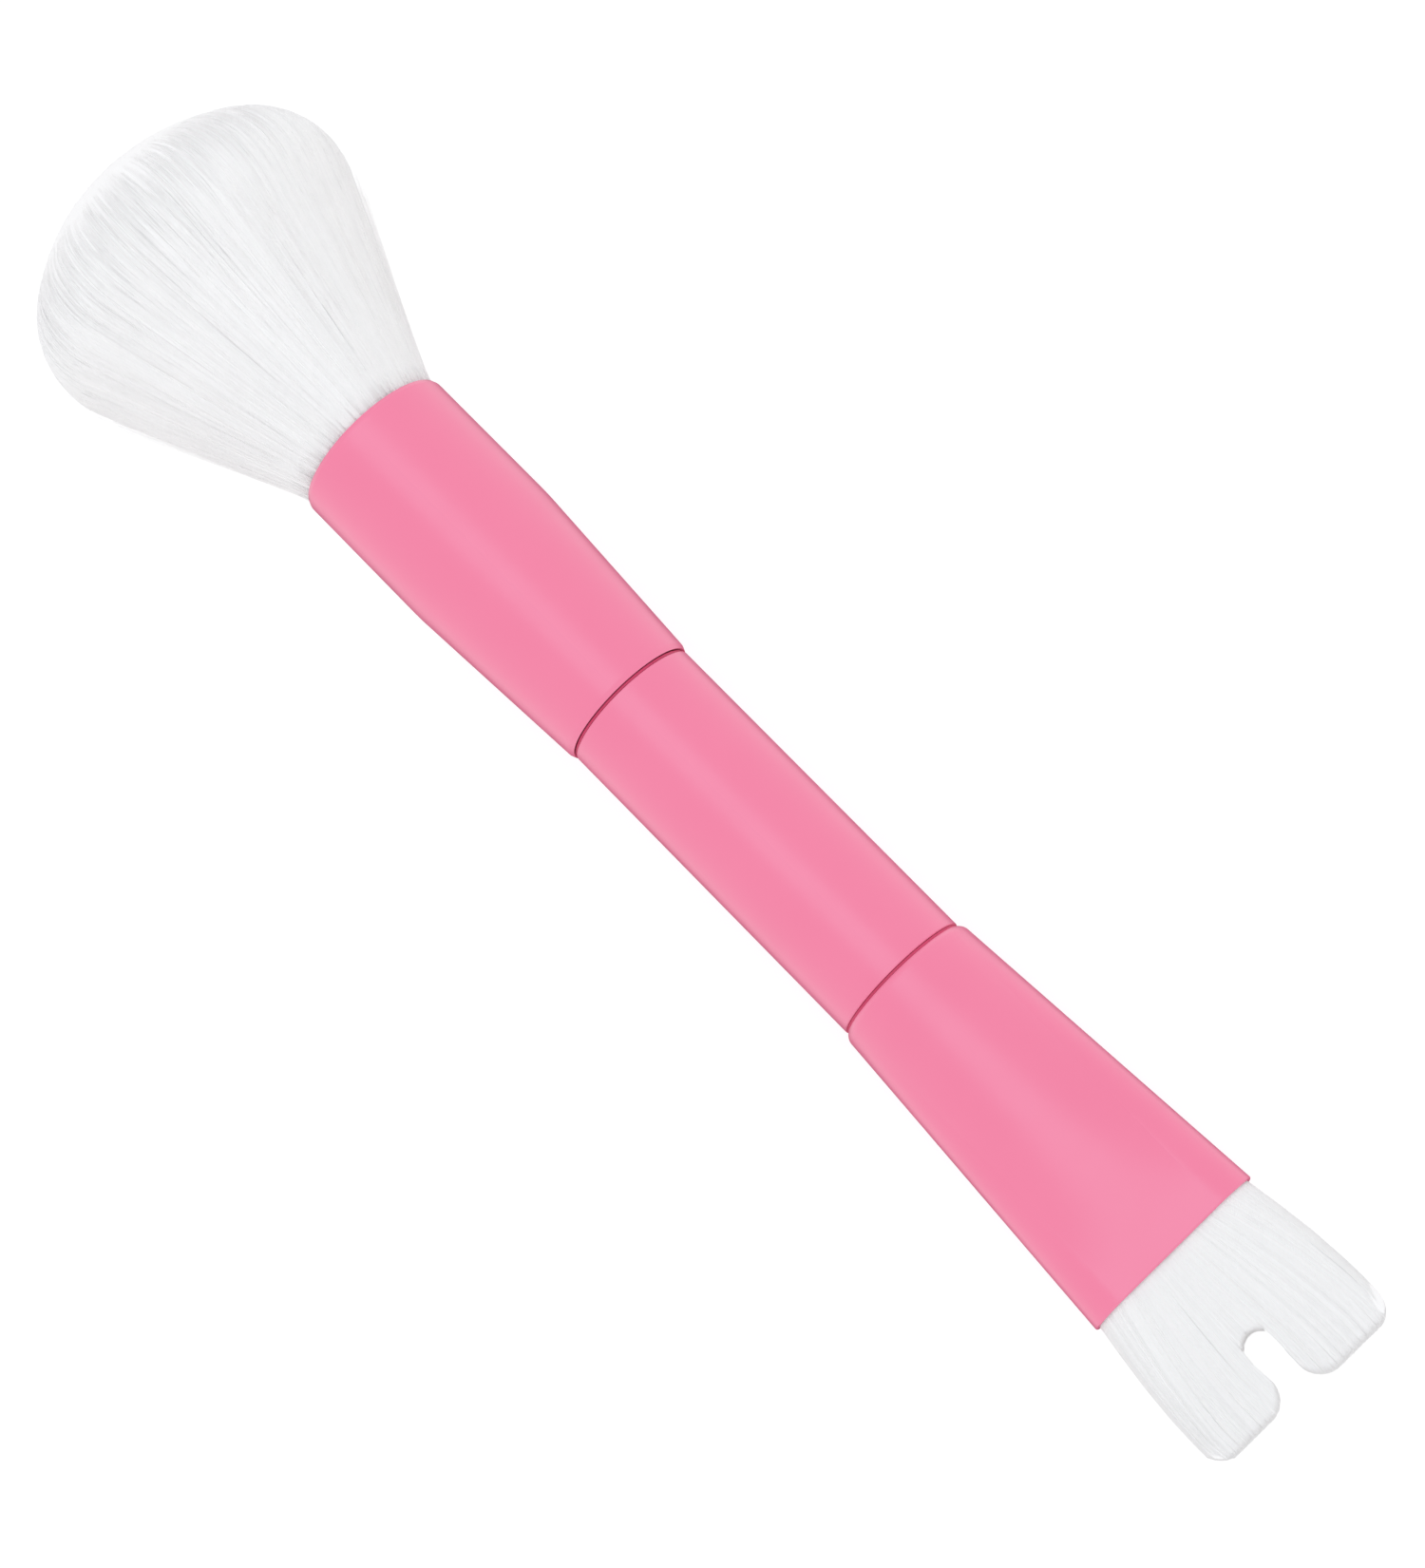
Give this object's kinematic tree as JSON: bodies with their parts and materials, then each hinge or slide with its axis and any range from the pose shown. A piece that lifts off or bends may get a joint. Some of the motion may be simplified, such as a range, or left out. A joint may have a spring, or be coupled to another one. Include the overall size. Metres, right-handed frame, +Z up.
{
  "type": "fade brush",
  "caption": "Double-ended barber's fade brush: a domed round tuft and a flat tuft with a keyhole notch, in lacquered metal ferrules joined by a short round grip tube.",
  "frame": {"origin": "on the table that the brush lies on, under the middle of its overall length", "axes": "+X along the brush from the round tuft to the flat tuft; +Y across the flat tuft; +Z up. The brush axis lies in the XZ plane and leans 6.02 degrees down towards +X"},
  "size_m": [0.1873, 0.0412, 0.0411],
  "materials": {
    "grip_lacquer": "satin pink lacquer on drawn aluminium",
    "ferrule_lacquer": "satin pink lacquer on drawn and pressed aluminium",
    "insert_plastic": "moulded deep pink plastic",
    "resin": "cast amber-tinted resin",
    "thread": "waxed binding thread",
    "bonded_filament": "resin-bonded filament roots",
    "filament": "soft white synthetic filament"
  },
  "bodies": {
    "root": {"grip_tube": "grip_lacquer", "round_ferrule": "ferrule_lacquer", "flat_ferrule": "ferrule_lacquer", "round_insert": "insert_plastic", "flat_insert": "insert_plastic", "round_resin_plug": "resin", "flat_resin_plug": "resin", "round_root_binding": "thread", "flat_root_binding": "thread", "round_tuft_root": "bonded_filament", "flat_tuft_root": "bonded_filament", "round_tuft": "filament", "flat_tuft": "filament"}
  },
  "joints": []
}
